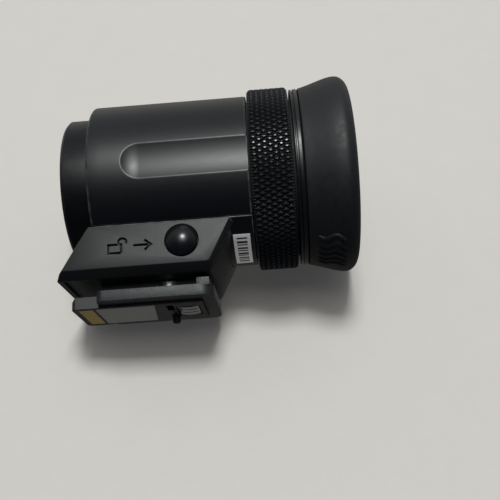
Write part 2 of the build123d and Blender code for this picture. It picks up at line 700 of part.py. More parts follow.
def rail_springs():
    """Short bowed strips on both sides of the neck that grip the shoe's rails."""
    middle = -(NECK_HALF_WIDTH - RAIL_SPRING_R + RAIL_SPRING_PROUD)
    strip = rod_z(RAIL_SPRING_R, RAIL_SPRING_Z, RAIL_SPRING_X, middle)
    strip -= rod_z(RAIL_SPRING_R - RAIL_SPRING_THICKNESS, (-23, -20), RAIL_SPRING_X, middle)
    strip &= box((RAIL_SPRING_X - 1.6, RAIL_SPRING_X + 1.6), (-7, -NECK_HALF_WIDTH), (-23, -20))
    return Compound([strip, mirror(strip, Plane.XZ)])


def foot_screws():
    group = []
    for x, y in SCREW_SPOTS:
        head = rod_z(FOOT_HEAD_R, (CHASSIS_TOP_Z, CHASSIS_TOP_Z + FOOT_HEAD_HEIGHT), x, y)
        group.append(head + rod_z(FOOT_SCREW_R, (CONTACT_TOP_Z, CHASSIS_TOP_Z), x, y))
    return Compound(group)


# ---- Release -------------------------------------------------------------------------------
def unlock_button():
    """Domed head and stem; it is pushed in along +Y."""
    face = -BASE_HALF_WIDTH
    dome_r = (BUTTON_R**2 + BUTTON_DOME**2) / (2 * BUTTON_DOME)
    head = rod_y(BUTTON_R, (face - 2 * BUTTON_DOME, face), BUTTON_X, BUTTON_Z)
    head &= Pos(BUTTON_X, face - BUTTON_RIM - BUTTON_DOME + dome_r, BUTTON_Z) * Sphere(dome_r)
    return head + rod_y(STEM_R, (face - BUTTON_RIM, SLIDE_Y[1]), BUTTON_X, BUTTON_Z)


def release_slide():
    """Plate behind the cheek with two arms whose slanted slots lift the lock pin."""
    plate = box(SLIDE_X, SLIDE_Y, SLIDE_Z)
    plate -= rod_y(STEM_R, (-11, -9), BUTTON_X, BUTTON_Z)
    width = (SLIDE_X[0], SLIDE_X[0] + ARM_WIDTH)
    arm = box(width, (SLIDE_Y[0], LOCK_Y + ARM_END), (SLIDE_Z[0], ARM_TOP_Z))
    arm += box(width, (LOCK_Y - ARM_END - 0.9, LOCK_Y + ARM_END), (ARM_BOTTOM_Z, ARM_TOP_Z))
    across, half = (-19, -14), DOWEL_R + SLOT_GAP
    low = rod_x(half, across, LOCK_Y, DOWEL_Z)
    high = rod_x(half, across, LOCK_Y - BUTTON_TRAVEL, DOWEL_Z + LOCK_TRAVEL)
    angle = math.degrees(math.atan2(LOCK_TRAVEL, -BUTTON_TRAVEL))
    run = math.hypot(LOCK_TRAVEL, BUTTON_TRAVEL)
    bridge = Rot(angle, 0, 0) * box(across, (0, run), (-half, half))
    slot = low + high + Pos(0, LOCK_Y, DOWEL_Z) * bridge
    arms = arm + Pos(2 * LOCK_X - sum(width), 0, 0) * arm
    return plate + arms - slot


def lock_pin():
    body = rod_z(LOCK_R, (FLANGE_BOTTOM_Z, DOWEL_Z + 0.9), LOCK_X, LOCK_Y)
    tip = rod_z(LOCK_TIP_R, (CONTACT_BOTTOM_Z - LOCK_PROUD, FLANGE_BOTTOM_Z), LOCK_X, LOCK_Y)
    tip = chamfer(tip.edges().sort_by(Axis.Z)[0], LOCK_TIP_R / 3)
    return body + tip - rod_x(DOWEL_R, (-19, -13), LOCK_Y, DOWEL_Z)


def lock_dowel():
    return rod_x(DOWEL_R, DOWEL_X, LOCK_Y, DOWEL_Z)


def button_spring():
    """Compression spring between the release slide and the chassis post."""
    path = Helix(pitch=COIL_PITCH, height=COIL_LENGTH, radius=COIL_R)
    start = path @ 0
    flat = Plane(origin=start, x_dir=(start.X, start.Y, 0), z_dir=path % 0)
    coil = sweep(flat * Circle(COIL_WIRE_R), path=path, is_frenet=True)
    return Pos(*COIL_START) * Rot(-90, 0, 0) * coil


# ---- Lying on its side ---------------------------------------------------------------------
def lie_down():
    """The turn that rests the finder on eyecup, barrel rim and the base's far front corner."""
    pitch = math.atan2(EYECUP_R - BARREL_R, EYECUP_WIDEST_X - BARREL_FRONT_X)
    corner_z = BASE_BOTTOM_Z + BASE_EDGE
    corner_x = front_x(corner_z)
    reach = math.hypot(BASE_HALF_WIDTH, corner_z)
    height = BARREL_R + (corner_x - BARREL_FRONT_X) * math.tan(pitch)
    roll = math.atan2(-corner_z, BASE_HALF_WIDTH) - math.acos(height / reach)
    return Rot(0, -math.degrees(pitch), 0) * Rot(math.degrees(roll) - 90, 0, 0)


NODES = [
    barrel_upper_shell, barrel_lower_cover, front_cap, serial_label, cover_screws,
    optics_chassis, display_frame, display_panel, display_board, display_flex,
    guide_tube, dioptre_ring, trim_ring, eyecup_mount, eyecup,
    lens_carrier, eyepiece_lens, field_lens, lens_retainer, follower_pins,
    base_housing, base_chassis, base_board, board_connector, hinge_pins, friction_washers,
    shoe_foot, contact_block, ground_plate, plug_contacts, ground_spring, rail_springs,
    foot_screws, unlock_button, release_slide, lock_pin, lock_dowel, button_spring,
]


def main():
    os.makedirs("parts", exist_ok=True)
    turn = lie_down()
    pieces = {make.__name__: turn * make() for make in NODES}
    bounds = Compound([s for piece in pieces.values() for s in piece.solids()]).bounding_box()
    middle = bounds.center()
    shift = Pos(-middle.X, -middle.Y, -bounds.min.Z)
    for name, piece in pieces.items():
        export_step(shift * piece, f"parts/{name}.step")
    print("roll and pitch", turn.orientation, "shift", shift.position, "size", bounds.size)


main()
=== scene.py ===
"""Looks of the clip-on electronic viewfinder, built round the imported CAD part.

The pieces are drawn in the finder's working frame, in millimetres (X along the optical axis to
the eye, Z up from shoe to barrel, the button on the -Y side, origin on the axis where the
dioptre ring starts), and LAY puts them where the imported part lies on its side.
"""

import math

import bmesh
import bpy
from mathutils import Matrix, Vector


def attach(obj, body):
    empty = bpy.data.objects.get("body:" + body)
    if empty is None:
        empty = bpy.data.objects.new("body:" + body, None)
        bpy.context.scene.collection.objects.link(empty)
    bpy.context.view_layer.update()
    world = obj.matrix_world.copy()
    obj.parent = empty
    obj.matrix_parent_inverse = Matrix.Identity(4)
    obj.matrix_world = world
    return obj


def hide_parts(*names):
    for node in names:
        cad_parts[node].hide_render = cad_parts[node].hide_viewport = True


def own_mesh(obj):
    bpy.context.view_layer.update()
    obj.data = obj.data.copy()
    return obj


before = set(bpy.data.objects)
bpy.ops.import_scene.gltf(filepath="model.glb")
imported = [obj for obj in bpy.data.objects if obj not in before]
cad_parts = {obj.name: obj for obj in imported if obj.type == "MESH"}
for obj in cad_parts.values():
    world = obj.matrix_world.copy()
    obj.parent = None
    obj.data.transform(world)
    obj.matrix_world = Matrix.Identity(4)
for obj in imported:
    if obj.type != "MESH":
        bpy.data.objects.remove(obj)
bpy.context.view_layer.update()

# ---- How the finder lies, as in the CAD source -------------------------------------------------
ROLL_DEG = 13.5281
PITCH_DEG = 3.0620
SHIFT_MM = (7.9828, 3.5979, 17.9025)
LAY = (
    Matrix.Translation(Vector(SHIFT_MM) * 0.001)
    @ Matrix.Rotation(math.radians(-PITCH_DEG), 4, "Y")
    @ Matrix.Rotation(math.radians(ROLL_DEG - 90), 4, "X")
    @ Matrix.Scale(0.001, 4)
)

# ---- Dimensions, millimetres -------------------------------------------------------------------
BARREL_R = 16.35
BORE_R = 15.15
BARREL_FRONT_X = -29.2
BARREL_REAR_X = -0.3
BARREL_FRONT_EDGE = 0.5
BARREL_FRONT_WALL = 1.2
SPLIT_Z = -11.3
SEAM_GAP = 0.05
CAP_R = 14.15
CAP_FRONT_X = -34.4
CAP_SEAT_R = 13.55
CAP_SEAT_END_X = -27.2
CAP_STEP_X = -28.95
CAP_WALL = 1.0
CAP_EDGE = 0.5
CAP_FACE_R = 12.3
CAP_FACE_SINK = 0.45
CAP_FACE_THICKNESS = 1.15
FLUTE_DEPTH = 0.75
FLUTE_R = 13.3
FLUTE_END_X = -19.6
FLUTE_END_REACH = 10.0
FLUTE_TURN_DEG = 4.0
FLUTE_HALF_ANGLE_DEG = 13.2
FLUTE_EDGE_WIDTH = 0.04
AWAY_R = 99.0
AXIS_GAP = 0.02
RING_R = 17.5
RING_LENGTH = 7.6
RING_BORE_GAP = 0.12
RING_CHAMFER = ((0.34, 0.40), (0.08, 0.55))
TUBE_R = 15.0
TRIM_R = 17.0
TRIM_X = (8.05, 9.45)
TRIM_BEAD = 0.4
TRIM_GROOVE = 0.25
TRIM_GROOVE_DEPTH = 0.7
EYECUP_R = 18.8
BASE_HALF_WIDTH = 11.9
BASE_WALL = 1.2
BASE_BOTTOM_Z = -20.7
BASE_FLOOR_Z = -19.5
BASE_FRONT = (-29.86, -35.5)
BASE_REAR = (-2.4, -7.3)
BASE_REAR_EDGE = 0.7
BASE_REAR_BULGE_R = 70.0
BASE_REAR_WALL = 2.4
BASE_EDGE = 1.5
SADDLE_GAP = 0.15
POCKET_X = (-34.6, -28.9)
POCKET_HALF_WIDTH = 10.0
POCKET_DEPTH = 0.5
HINGE = (-30.3, -14.2)
HINGE_PIN_R = 0.75
HINGE_PIN_END = 11.4
LOCK = (-16.3, 3.3)
LOCK_HOLE_R = 0.95
LOCK_ROOM_X = (-18.5, -14.1)
LOCK_ROOM_Y = (1.2, 5.8)
ICON_DEPTH = 0.5
ICON_LINE = 0.42
ICON_Z = -15.45
LOCK_ICON_X = -24.9
LOCK_ICON_HALF_WIDTH = 1.15
LOCK_ICON_FOOT = 1.2
LOCK_ICON_TOP = 0.35
SHACKLE_CENTRE = (1.35, 0.85)
SHACKLE_SIZE = (0.7, 0.6)
SHACKLE_FEET = ((2.05, 0.5), 0.65)
ARROW_X = (-21.6, -18.9)
ARROW_TIP_X = -18.45
ARROW_HEAD = (1.15, 0.95)
BUTTON = (-13.05, -15.1)
BUTTON_R = 2.85
BUTTON_GAP = 0.2
BUTTON_DOME = 1.2
BUTTON_RIM = 0.3
BUTTON_CHAMFER = 0.08
STEM_R = 1.3
STEM_END_Y = -9.9
COIL_START = (-11.3, -9.75, -17.0)
COIL_LENGTH = 3.3
COIL_PITCH = 0.62
COIL_R = 0.8
COIL_WIRE_R = 0.14
FLANGE_X = (-29.0, -8.0)
FLANGE_Z = (-24.5, -22.5)
FLANGE_HALF_WIDTH = 9.3
FLANGE_CORNERS = (1.2, 2.2)
FLANGE_EDGE = 0.09
NECK_X = (-28.6, -8.7)
NECK_HALF_WIDTH = 6.1
STOP_X = (-11.0, -8.7)
STOP_TOP_Z = -21.3
STOP_EDGE = 0.06
CHANNEL_END_X = -10.4
CHANNEL_TOP_Z = -23.3
LABEL_X = (-4.1, -1.0)
LABEL_Y = (-8.8, 0.3)
LABEL_THICKNESS = 0.08
BAR_X = (-3.5, -1.6)
BAR_START_Y = -8.2
BAR_PITCH = 0.77
BAR_WIDTHS = (0.3, 0.5, 0.25, 0.45, 0.3, 0.55, 0.25, 0.45, 0.3, 0.5)
INK_THICKNESS = 0.02


# ---- Small helpers -----------------------------------------------------------------------------
def piece(name, bm, body, finish, nodes=(), sharp_deg=32):
    """Turns a working-frame bmesh into a piece that rides on body and stands for CAD nodes."""
    bmesh.ops.recalc_face_normals(bm, faces=bm.faces)
    bm.transform(LAY)
    mesh = bpy.data.meshes.new(name)
    bm.to_mesh(mesh)
    bm.free()
    mesh.shade_smooth()
    mesh.set_sharp_from_angle(angle=math.radians(sharp_deg))
    mesh.materials.append(finish.material)
    obj = bpy.data.objects.new(name, mesh)
    bpy.context.scene.collection.objects.link(obj)
    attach(obj, body)
    if nodes:
        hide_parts(*nodes)
    return obj


def fillet_outline(corners, steps=6):
    """Points round a closed outline of (a, b, radius) corners, each corner made round."""
    points = []
    for i, (a, b, radius) in enumerate(corners):
        here = Vector((a, b))
        if radius <= 0:
            points.append(here)
            continue
        before = (Vector(corners[i - 1][:2]) - here).normalized()
        after = (Vector(corners[(i + 1) % len(corners)][:2]) - here).normalized()
        half = before.angle(after) / 2
        run = radius / math.tan(half)
        centre = here + (before + after).normalized() * (radius / math.sin(half))
        start = here + before * run - centre
        turn = start.angle_signed(here + after * run - centre)
        for k in range(steps + 1):
            points.append(centre + Matrix.Rotation(-turn * k / steps, 2) @ start)
    return points


def lathe(outline, segments=240):
    """A bmesh of a closed (x, radius) outline turned about the optical axis."""
    bm = bmesh.new()
    rings = []
    for k in range(segments):
        turn = 2 * math.pi * k / segments
        c, s = math.cos(turn), math.sin(turn)
        rings.append([bm.verts.new((x, r * c, r * s)) for x, r in outline])
    for k in range(segments):
        one, two = rings[k], rings[(k + 1) % segments]
        for i in range(len(outline)):
            j = (i + 1) % len(outline)
            bm.faces.new((one[i], one[j], two[j], two[i]))
    bmesh.ops.remove_doubles(bm, verts=bm.verts, dist=1e-5)
    return bm


def slab(outline, low, high, axis, bevel=0.0):
    """A bmesh of a closed 2-D outline drawn out along an axis, its rims bevelled round."""
    order = {"X": (1, 2, 0), "Y": (0, 2, 1), "Z": (0, 1, 2)}[axis]
    bm = bmesh.new()
    layers = []
    for height in (low, high):
        ring = []
        for a, b in outline:
            co = [0.0, 0.0, 0.0]
            co[order[0]], co[order[1]], co[order[2]] = a, b, height
            ring.append(bm.verts.new(co))
        layers.append(ring)
    bm.faces.new(layers[0])
    bm.faces.new(layers[1])
    count = len(outline)
    for i in range(count):
        j = (i + 1) % count
        bm.faces.new((layers[0][i], layers[0][j], layers[1][j], layers[1][i]))
    bmesh.ops.recalc_face_normals(bm, faces=bm.faces)
    if bevel > 0:
        caps = {e for f in bm.faces if len(f.verts) == count and count > 4 for e in f.edges}
        sharp = [e for e in bm.edges if e.calc_face_angle(0) > math.radians(40)]
        chosen = list(caps | set(sharp))
        bmesh.ops.bevel(
            bm, geom=chosen, offset=bevel, segments=3, profile=0.5, affect="EDGES", clamp_overlap=True
        )
    return bm


def block(x, y, z, bevel=0.0):
    """A bmesh box from its two ends along each axis."""
    outline = [(x[0], y[0]), (x[1], y[0]), (x[1], y[1]), (x[0], y[1])]
    return slab(outline, z[0], z[1], "Z", bevel)


def circle(radius, centre=(0.0, 0.0), count=96):
    """Points round a circle in 2-D."""
    steps = [2 * math.pi * k / count for k in range(count)]
    return [(centre[0] + radius * math.cos(t), centre[1] + radius * math.sin(t)) for t in steps]


def joined(*parts):
    """One bmesh holding several."""
    bm = bmesh.new()
    for part in parts:
        mesh = bpy.data.meshes.new("joined_part")
        part.to_mesh(mesh)
        part.free()
        bm.from_mesh(mesh)
        bpy.data.meshes.remove(mesh)
    return bm


def combined(bm, others, operation):
    """bm with each of the others cut from it or added to it."""
    scene = bpy.context.scene
    objects = []
    for i, part in enumerate([bm, *others]):
        bmesh.ops.recalc_face_normals(part, faces=part.faces)
        mesh = bpy.data.meshes.new(f"working_{i}")
        part.to_mesh(mesh)
        part.free()
        obj = bpy.data.objects.new(f"working_{i}", mesh)
        scene.collection.objects.link(obj)
        objects.append(obj)
    for cutter in objects[1:]:
        modifier = objects[0].modifiers.new("combine", "BOOLEAN")
        modifier.operation = operation
        modifier.solver = "EXACT"
        modifier.object = cutter
    bpy.context.view_layer.update()
    evaluated = objects[0].evaluated_get(bpy.context.evaluated_depsgraph_get())
    result = bmesh.new()
    result.from_mesh(evaluated.to_mesh())
    evaluated.to_mesh_clear()
    for obj in objects:
        mesh = obj.data
        bpy.data.objects.remove(obj)
        bpy.data.meshes.remove(mesh)
    bmesh.ops.remove_doubles(result, verts=result.verts, dist=1e-4)
    return result


def cut(bm, *cutters):
    """bm without the cutters' volume."""
    return combined(bm, cutters, "DIFFERENCE")


def fused(bm, *others):
    """bm and the others as one solid."""
    return combined(bm, others, "UNION")


# ---- Materials ---------------------------------------------------------------------------------
class Finish:
    """A procedural finish: colour, gloss and grain all vary a little, edges are worn and painted paler as
    a highlight, and shade can be painted into crevices.
    """

    def __init__(self, name, color, roughness, metallic=0.0, spread=0.05, drift=0.12, shine=0.5):
        self.material = bpy.data.materials.new(name)
        self.material.use_nodes = True
        self.tree = self.material.node_tree
        self.shader = self.tree.nodes["Principled BSDF"]
        self.shader.inputs["Base Color"].default_value = (*color, 1)
        self.shader.inputs["Roughness"].default_value = roughness
        self.shader.inputs["Metallic"].default_value = metallic
        self.shader.inputs["Specular IOR Level"].default_value = shine
        self.place = self.node("ShaderNodeTexCoord").outputs["Object"]
        self.color = color
        self.cloud(spread, roughness, drift)

    def node(self, kind, **values):
        """A new node of that kind with those settings."""
        made = self.tree.nodes.new(kind)
        for key, value in values.items():
            setattr(made, key, value)
        return made

    def link(self, output, target):
        self.tree.links.new(output, target)

    def noise(self, scale, detail=2.0, rough=0.5, stretch=None):
        """Noise over the object, stretched along its axes if stretch says so."""
        made = self.node("ShaderNodeTexNoise")
        made.inputs["Scale"].default_value = scale
        made.inputs["Detail"].default_value = detail
        made.inputs["Roughness"].default_value = rough
        source = self.place
        if stretch:
            mapping = self.node("ShaderNodeMapping")
            mapping.inputs["Scale"].default_value = stretch
            self.link(source, mapping.inputs["Vector"])
            source = mapping.outputs["Vector"]
        self.link(source, made.inputs["Vector"])
        return made.outputs["Fac"]

    def ranged(self, value, low, high, start=0.3, stop=0.7):
        """Low to high as value goes from start to stop."""
        made = self.node("ShaderNodeMapRange")
        made.inputs["From Min"].default_value = start
        made.inputs["From Max"].default_value = stop
        made.inputs["To Min"].default_value = low
        made.inputs["To Max"].default_value = high
        self.link(value, made.inputs["Value"])
        return made.outputs["Result"]

    def cloud(self, spread, roughness, drift):
        """Slow drift of colour and gloss, with finer smears in the gloss."""
        slow = self.noise(160, 3)
        mix = self.node("ShaderNodeMix", data_type="RGBA")
        mix.inputs["A"].default_value = (*[c * (1 - 2 * spread) for c in self.color], 1)
        mix.inputs["B"].default_value = (*[min(1, c * (1 + 2 * spread)) for c in self.color], 1)
        self.link(slow, mix.inputs["Factor"])
        self.base = mix.outputs["Result"]
        self.link(self.base, self.shader.inputs["Base Color"])
        self.gloss = self.ranged(self.noise(900, 4, 0.6), roughness * (1 - drift), roughness * (1 + drift))
        self.link(self.gloss, self.shader.inputs["Roughness"])

    def grain(self, scale, depth, detail=2.0, stretch=None):
        """Fine surface relief; depth is in metres."""
        self.bump = self.node("ShaderNodeBump")
        self.bump.inputs["Strength"].default_value = 1.0
        self.bump.inputs["Distance"].default_value = depth
        self.link(self.noise(scale, detail, 0.55, stretch), self.bump.inputs["Height"])
        self.link(self.bump.outputs["Normal"], self.shader.inputs["Normal"])
        return self

    def tinted(self, one, two, color):
        """Goes over to color where one times two is high."""
        both = self.node("ShaderNodeMath", operation="MULTIPLY")
        self.link(one, both.inputs[0])
        self.link(two, both.inputs[1])
        mix = self.node("ShaderNodeMix", data_type="RGBA")
        self.link(both.outputs["Value"], mix.inputs["Factor"])
        self.link(self.base, mix.inputs["A"])
        mix.inputs["B"].default_value = (*color, 1)
        self.base = mix.outputs["Result"]
        self.link(self.base, self.shader.inputs["Base Color"])
        return self

    def edge_wear_and_painted_highlight(self, width, color, amount, keen=0.985):
        """Rounds hard edges a little and paints them paler, more so in places: partly wear, partly a
        painted highlight along the edges.
        """
        bevel = self.node("ShaderNodeBevel", samples=6)
        bevel.inputs["Radius"].default_value = width
        self.link(bevel.outputs["Normal"], self.bump.inputs["Normal"])
        plain = self.node("ShaderNodeNewGeometry").outputs["Normal"]
        dot = self.node("ShaderNodeVectorMath", operation="DOT_PRODUCT")
        self.link(bevel.outputs["Normal"], dot.inputs[0])
        self.link(plain, dot.inputs[1])
        edge = self.ranged(dot.outputs["Value"], 1.0, 0.0, 1 - 8 * (1 - keen), keen)
        patch = self.ranged(self.noise(700, 3), 0.3 * amount, amount, 0.42, 0.68)
        return self.tinted(edge, patch, color)

    def crevice_shade(self, reach, low):
        """Painted shade: lowers the shine where ambient occlusion finds something within reach, in
        grooves, gaps and corners.
        """
        near = self.node("ShaderNodeAmbientOcclusion", samples=8, only_local=False)
        near.inputs["Distance"].default_value = reach
        shine = self.shader.inputs["Specular IOR Level"].default_value
        occlusion_shaded_shine = self.ranged(near.outputs["AO"], low * shine, shine, 0.35, 0.80)
        self.link(occlusion_shaded_shine, self.shader.inputs["Specular IOR Level"])
        return self

    def dust(self, scale, size, color, amount):
        """Sparse pale specks."""
        cells = self.node("ShaderNodeTexVoronoi")
        cells.inputs["Scale"].default_value = scale
        self.link(self.place, cells.inputs["Vector"])
        speck = self.ranged(cells.outputs["Distance"], 1.0, 0.0, 0.0, size)
        some = self.ranged(self.noise(scale * 0.37, 1), 0.0, amount, 0.6, 0.66)
        return self.tinted(speck, some, color)


BRUSHED = (1.0, 14.0, 14.0)


def grey(value):
    """An even grey."""
    return (value, value, value)


# Each finish below gets paler edges, partly wear and partly a painted highlight.
barrel_paint = Finish("barrel_paint", (0.0026, 0.0034, 0.0048), 0.39, drift=0.03)
# On the barrel the pale edge tint is keen and strong, which draws painted highlight lines along the flute
# edges.
barrel_paint.grain(11000, 0.000005).edge_wear_and_painted_highlight(0.0002, grey(0.24), 1.0, 0.9994)
barrel_paint.dust(1500, 0.06, grey(0.3), 0.5)
cap_plastic = Finish("cap_plastic", (0.0022, 0.0030, 0.0040), 0.37, shine=0.33)
cap_plastic.grain(5000, 0.000002).edge_wear_and_painted_highlight(0.00015, grey(0.28), 0.9)
# Painted shade in the cap's grooves and gaps.
cap_plastic.crevice_shade(0.0005, 0.1)
block_plastic = Finish("block_plastic", (0.0044, 0.0050, 0.0055), 0.45, drift=0.03, shine=0.45)
block_plastic.grain(6500, 0.000024, 4).edge_wear_and_painted_highlight(0.00017, grey(0.24), 0.8)
# Painted shade in the base's grooves, gaps and engraving.
block_plastic.crevice_shade(0.0007, 0.0)
ring_black = Finish("ring_black", (0.0052, 0.0060, 0.0076), 0.29)
ring_black.grain(2500, 0.000002).edge_wear_and_painted_highlight(0.00004, grey(0.05), 0.2)
trim_black = Finish("trim_black", (0.006, 0.006, 0.007), 0.34)
trim_black.grain(3000, 0.000001).edge_wear_and_painted_highlight(0.0001, grey(0.06), 0.2)
cup_rubber = Finish("cup_rubber", (0.0048, 0.0062, 0.0080), 0.58)
cup_rubber.grain(5200, 0.000006, 4).edge_wear_and_painted_highlight(0.0002, grey(0.05), 0.2)
cup_rubber.dust(1300, 0.07, grey(0.28), 0.6)
button_gloss = Finish("button_gloss", (0.004, 0.0045, 0.006), 0.27)
button_gloss.grain(4000, 0.000002).edge_wear_and_painted_highlight(0.0001, grey(0.05), 0.2)
foot_satin = Finish("foot_satin", (0.015, 0.017, 0.019), 0.44, metallic=0.06, shine=0.44)
foot_satin.grain(3600, 0.000055, 4).edge_wear_and_painted_highlight(0.00015, (0.35, 0.35, 0.34), 0.7)
# Painted shade in the foot's gaps and corners.
foot_satin.crevice_shade(0.0006, 0.1)
plug_plastic = Finish("plug_plastic", (0.010, 0.0105, 0.011), 0.46)
plug_plastic.grain(6000, 0.000006).edge_wear_and_painted_highlight(0.0001, grey(0.08), 0.3)
inner_black = Finish("inner_black", grey(0.012), 0.72)
inner_black.grain(6000, 0.000005).edge_wear_and_painted_highlight(0.0001, grey(0.05), 0.2)
bright_plate = Finish("bright_plate", (0.54, 0.53, 0.50), 0.36, metallic=1.0)
bright_plate.grain(2600, 0.000003, 3, BRUSHED).edge_wear_and_painted_highlight(0.00008, (0.7, 0.7, 0.68), 0.4)
sheet_steel = Finish("sheet_steel", (0.42, 0.42, 0.43), 0.38, metallic=1.0)
sheet_steel.grain(2600, 0.000003, 3, BRUSHED).edge_wear_and_painted_highlight(0.0001, grey(0.6), 0.4)
dark_screw = Finish("dark_screw", (0.07, 0.07, 0.072), 0.34, metallic=1.0)
dark_screw.grain(4000, 0.000003).edge_wear_and_painted_highlight(0.00008, grey(0.3), 0.6)
spring_wire = Finish("spring_wire", (0.55, 0.55, 0.54), 0.28, metallic=1.0)
spring_wire.grain(5000, 0.000002).edge_wear_and_painted_highlight(0.00005, grey(0.7), 0.3)
contact_gold = Finish("contact_gold", (1.0, 0.68, 0.20), 0.30, metallic=1.0)
contact_gold.grain(5000, 0.000002).edge_wear_and_painted_highlight(0.00005, (0.85, 0.6, 0.25), 0.4)
turned_brass = Finish("turned_brass", (0.62, 0.44, 0.18), 0.30, metallic=1.0)
turned_brass.grain(5000, 0.000002).edge_wear_and_painted_highlight(0.00005, (0.8, 0.6, 0.3), 0.4)
label_film = Finish("label_film", (0.97, 0.97, 0.96), 0.5)
label_film.grain(8000, 0.000002).edge_wear_and_painted_highlight(0.00005, (0.5, 0.5, 0.48), 0.3)
label_ink = Finish("label_ink", grey(0.03), 0.5)
label_ink.grain(8000, 0.000001).edge_wear_and_painted_highlight(0.00003, grey(0.1), 0.2)
board_green = Finish("board_green", (0.02, 0.10, 0.045), 0.35)
board_green.grain(5000, 0.000004).edge_wear_and_painted_highlight(0.00008, (0.3, 0.28, 0.15), 0.5)
flex_amber = Finish("flex_amber", (0.42, 0.18, 0.035), 0.35)
flex_amber.grain(3000, 0.000002).edge_wear_and_painted_highlight(0.00004, (0.5, 0.3, 0.1), 0.3)
panel_glass = Finish("panel_glass", (0.010, 0.014, 0.022), 0.06)
panel_glass.grain(1500, 0.00000008).edge_wear_and_painted_highlight(0.00008, (0.1, 0.1, 0.12), 0.2)
lens_glass = Finish("lens_glass", (0.92, 0.96, 1.0), 0.02)
lens_glass.grain(300, 0.00000003)
lens_glass.shader.inputs["Transmission Weight"].default_value = 1.0
lens_glass.shader.inputs["IOR"].default_value = 1.52
lens_glass.shader.inputs["Thin Film Thickness"].default_value = 240.0
lens_glass.shader.inputs["Thin Film IOR"].default_value = 1.38


# ---- Barrel ------------------------------------------------------------------------------------
def flute_radius(x, angle, centre_deg):
    """Radius of the flute's surface under (x, angle), or a large value away from it."""
    reach = BARREL_R - FLUTE_DEPTH + FLUTE_R
    off = angle - math.radians(centre_deg)
    past = max(0.0, FLUTE_END_X - x) * FLUTE_R / FLUTE_END_REACH
    room = FLUTE_R**2 - past**2 - (reach * math.sin(off)) ** 2
    if room <= 0 or math.cos(off) <= 0:
        return AWAY_R
    return reach * math.cos(off) - math.sqrt(room)


def soft_min(a, b, width):
    """The lower of two values, blended where they are within width of each other."""
    share = max(width - abs(a - b), 0.0) / width
    return min(a, b) - share * share * width / 4


def spaced(low, high, step):
    """Even values from low to high, about step apart."""
    count = max(1, round((high - low) / step))
    return [low + (high - low) * i / count for i in range(count + 1)]


PLAIN_X = (-26.6, -25.0, -24.2)
NOSE_X = (-23.4, -19.2)
NOSE_STEP = 0.09
FLUTE_X = (-18.8, -0.55)
FLUTE_STEP = 1.2
REAR_EDGE = ((-0.4, 0.04), (-0.32, 0.12), (BARREL_REAR_X, 0.25))
FINE_DEG = 0.36
COARSE_DEG = 1.5


def barrel_shell():
    """The fluted upper shell, with a finer grid where the flutes' edges run."""
    corners = [(BARREL_FRONT_X, CAP_R - 0.3, 0), (BARREL_FRONT_X, BARREL_R, BARREL_FRONT_EDGE)]
    edge = fillet_outline([*corners, (BARREL_FRONT_X + 2.2, BARREL_R, 0)], 8)[:-1]
    plain = [*PLAIN_X, *spaced(*NOSE_X, NOSE_STEP), *spaced(*FLUTE_X, FLUTE_STEP)]
    stations = [(p[0], p[1]) for p in edge] + [(x, BARREL_R) for x in plain]
    stations += [(x, BARREL_R - drop) for x, drop in REAR_EDGE]
    fine = FLUTE_HALF_ANGLE_DEG
    centres = (-FLUTE_TURN_DEG, 180 + FLUTE_TURN_DEG)
    low_deg = math.degrees(math.asin((SPLIT_Z + SEAM_GAP) / BARREL_R))
    turns = spaced(low_deg, centres[0] - fine, COARSE_DEG)[:-1]
    turns += spaced(centres[0] - fine, centres[0] + fine, FINE_DEG)[:-1]
    turns += spaced(centres[0] + fine, centres[1] - fine, COARSE_DEG)[:-1]
    turns += spaced(centres[1] - fine, centres[1] + fine, FINE_DEG)[:-1]
    turns += spaced(centres[1] + fine, 180 - low_deg, COARSE_DEG)
    bm = bmesh.new()
    columns = []
    for turn in turns:
        angle = math.radians(turn)
        column = []
        for x, radius in stations:
            for centre in centres:
                radius = soft_min(radius, flute_radius(x, angle, centre), FLUTE_EDGE_WIDTH)
            column.append(bm.verts.new((x, radius * math.cos(angle), radius * math.sin(angle))))
        for x in (BARREL_REAR_X, BARREL_FRONT_X + BARREL_FRONT_WALL):
            column.append(bm.verts.new((x, BORE_R * math.cos(angle), BORE_R * math.sin(angle))))
        columns.append(column)
    size = len(columns[0])
    for one, two in zip(columns, columns[1:]):
        for i in range(size):
            j = (i + 1) % size
            bm.faces.new((one[i], one[j], two[j], two[i]))
    bm.faces.new(columns[0])
    bm.faces.new(columns[-1])
    return bm


piece("barrel_shell", barrel_shell(), "barrel", barrel_paint, ["barrel_upper_shell"], 40)


def front_cap():
    """A flat cap with a sunk face, held in the barrel by a narrower seat."""
    back = CAP_FRONT_X + CAP_FACE_SINK + CAP_FACE_THICKNESS
    corners = [
        (CAP_SEAT_END_X, CAP_SEAT_R, 0),
        (CAP_STEP_X, CAP_SEAT_R, 0),
        (CAP_STEP_X, CAP_R - 0.12, 0),
        (BARREL_FRONT_X - 0.1, CAP_R, 0.1),
        (CAP_FRONT_X + CAP_EDGE + 0.02, CAP_R, 0.08),
        (CAP_FRONT_X, CAP_R - CAP_EDGE, 0.08),
        (CAP_FRONT_X, CAP_FACE_R + 0.15, 0.12),
        (CAP_FRONT_X + CAP_FACE_SINK, CAP_FACE_R - 0.05, 0.12),
        (CAP_FRONT_X + CAP_FACE_SINK, AXIS_GAP, 0),
        (back, AXIS_GAP, 0),
        (back, CAP_SEAT_R - CAP_WALL, 0),
        (CAP_SEAT_END_X, CAP_SEAT_R - CAP_WALL, 0),
    ]
    return lathe(fillet_outline(corners))


piece("cap", front_cap(), "barrel", cap_plastic, ["front_cap"])


# ---- Dioptre ring ------------------------------------------------------------------------------
KNURL_AROUND = 101
KNURL_STEP_X = 0.97
KNURL_COLUMNS = 7
KNURL_DEPTH = 0.36
KNURL_TOP = 0.29
KNURL_SHOULDER = 1.6 * KNURL_TOP
KNURL_SHOULDER_DEPTH = 0.07
KNURL_END = 0.42


